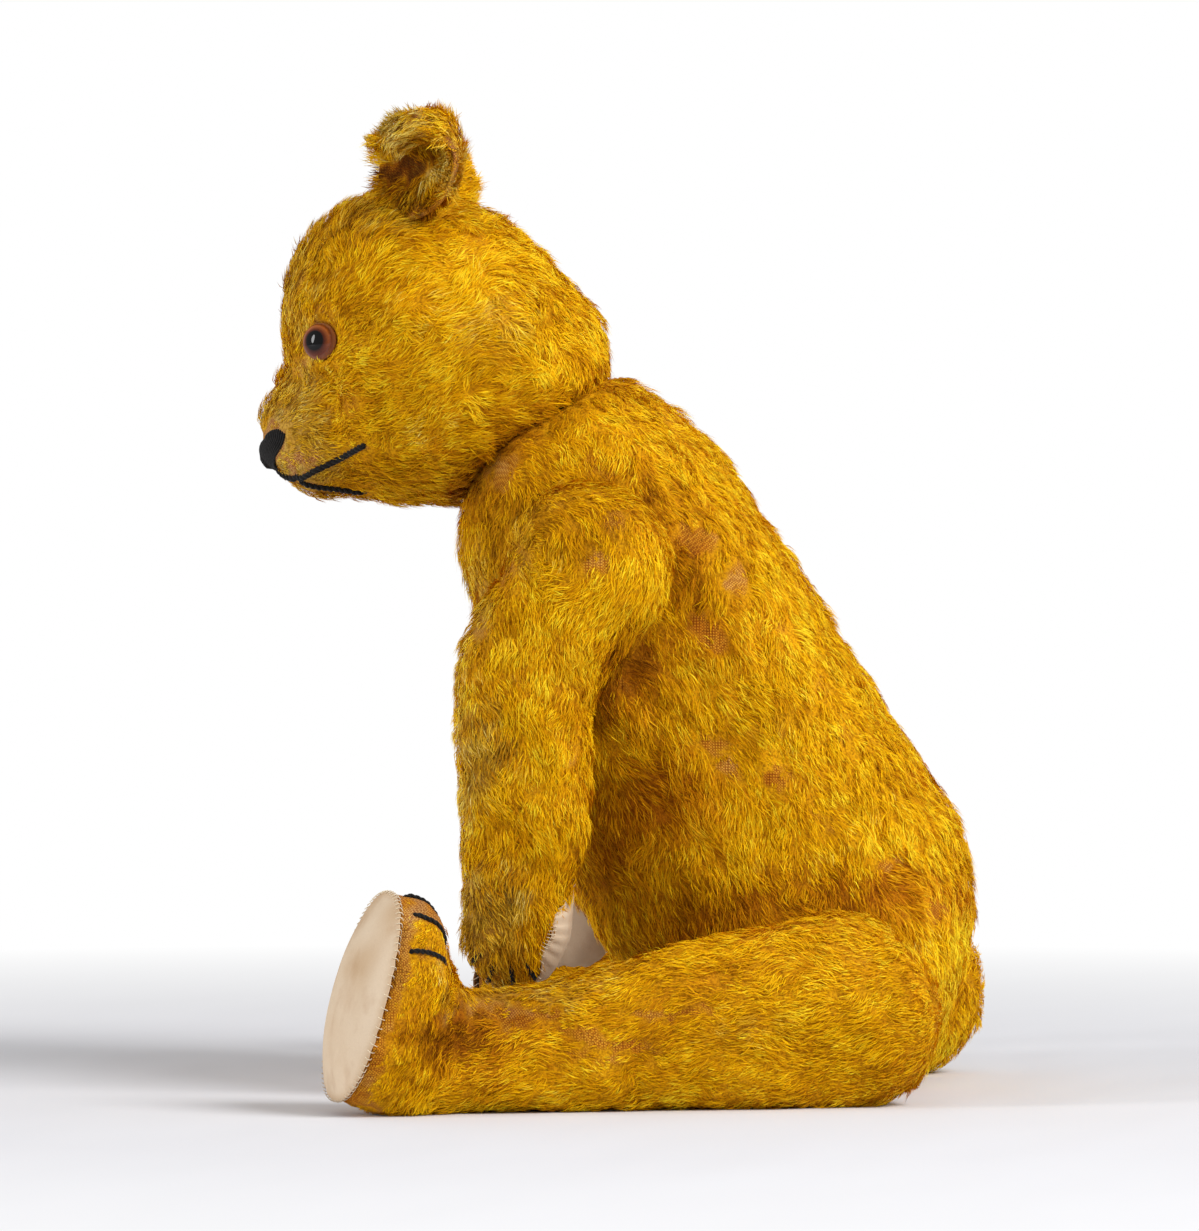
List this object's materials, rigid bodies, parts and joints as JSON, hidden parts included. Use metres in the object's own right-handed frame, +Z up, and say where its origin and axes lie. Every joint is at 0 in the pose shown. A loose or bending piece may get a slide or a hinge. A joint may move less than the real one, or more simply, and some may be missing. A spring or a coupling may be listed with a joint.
{
  "type": "teddy bear",
  "caption": "Old jointed teddy bear sitting with its legs out, worn gold mohair over wood wool, felt paws, glass eyes and stitched nose and claws.",
  "frame": {"origin": "on the floor, under the middle of the sitting bear's bounding box", "axes": "+Z up; the bear faces -Y; its own left is +X, and the legs spread along X"},
  "size_m": [0.3794, 0.2656, 0.3671],
  "materials": {
    "mohair": "worn golden mohair pile, bald to the weave in places",
    "felt": "stained cream felt",
    "black_thread": "black embroidery thread",
    "eye_glass": "amber glass with a black pupil",
    "wire": "plain steel wire",
    "steel": "plain steel",
    "fibreboard": "brown pressed fibreboard"
  },
  "bodies": {
    "torso": {"torso": "mohair", "neck_torso_disc": "fibreboard", "neck_torso_washer": "steel", "shoulder_left_torso_disc": "fibreboard", "shoulder_left_torso_washer": "steel", "shoulder_right_torso_disc": "fibreboard", "shoulder_right_torso_washer": "steel", "hip_left_torso_disc": "fibreboard", "hip_left_torso_washer": "steel", "hip_right_torso_disc": "fibreboard", "hip_right_torso_washer": "steel"},
    "head": {"head": "mohair", "ear_left": "mohair", "ear_right": "mohair", "eye_left": "eye_glass", "eye_right": "eye_glass", "eye_shank_left": "wire", "eye_shank_right": "wire", "nose_stitching": "black_thread", "mouth_stitching": "black_thread", "neck_head_disc": "fibreboard", "neck_head_washer": "steel", "neck_pin": "wire"},
    "arm_left": {"arm_left": "mohair", "paw_pad_left": "felt", "hand_claws_left": "black_thread", "shoulder_left_arm_disc": "fibreboard", "shoulder_left_arm_washer": "steel", "shoulder_left_pin": "wire"},
    "leg_left": {"leg_left": "mohair", "sole_pad_left": "felt", "foot_claws_left": "black_thread", "hip_left_leg_disc": "fibreboard", "hip_left_leg_washer": "steel", "hip_left_pin": "wire"},
    "arm_right": {"arm_right": "mohair", "paw_pad_right": "felt", "hand_claws_right": "black_thread", "shoulder_right_arm_disc": "fibreboard", "shoulder_right_arm_washer": "steel", "shoulder_right_pin": "wire"},
    "leg_right": {"leg_right": "mohair", "sole_pad_right": "felt", "foot_claws_right": "black_thread", "hip_right_leg_disc": "fibreboard", "hip_right_leg_washer": "steel", "hip_right_pin": "wire"}
  },
  "joints": [
    {"name": "neck", "type": "hinge", "parent": "torso", "child": "head", "pos_m": [0.00902, -0.02678, 0.246], "axis": [0, -0.6198, 0.7848], "continuous": true},
    {"name": "shoulder_left", "type": "hinge", "parent": "torso", "child": "arm_left", "pos_m": [0.06632, 0.00122, 0.195], "axis": [-1, 0, 0], "continuous": true},
    {"name": "shoulder_right", "type": "hinge", "parent": "torso", "child": "arm_right", "pos_m": [-0.04828, 0.00122, 0.195], "axis": [-1, 0, 0], "continuous": true},
    {"name": "hip_left", "type": "hinge", "parent": "torso", "child": "leg_left", "pos_m": [0.07052, 0.08872, 0.035], "axis": [-0.9397, -0.342, 0], "continuous": true},
    {"name": "hip_right", "type": "hinge", "parent": "torso", "child": "leg_right", "pos_m": [-0.05248, 0.08872, 0.035], "axis": [-0.9397, 0.342, 0], "continuous": true}
  ]
}
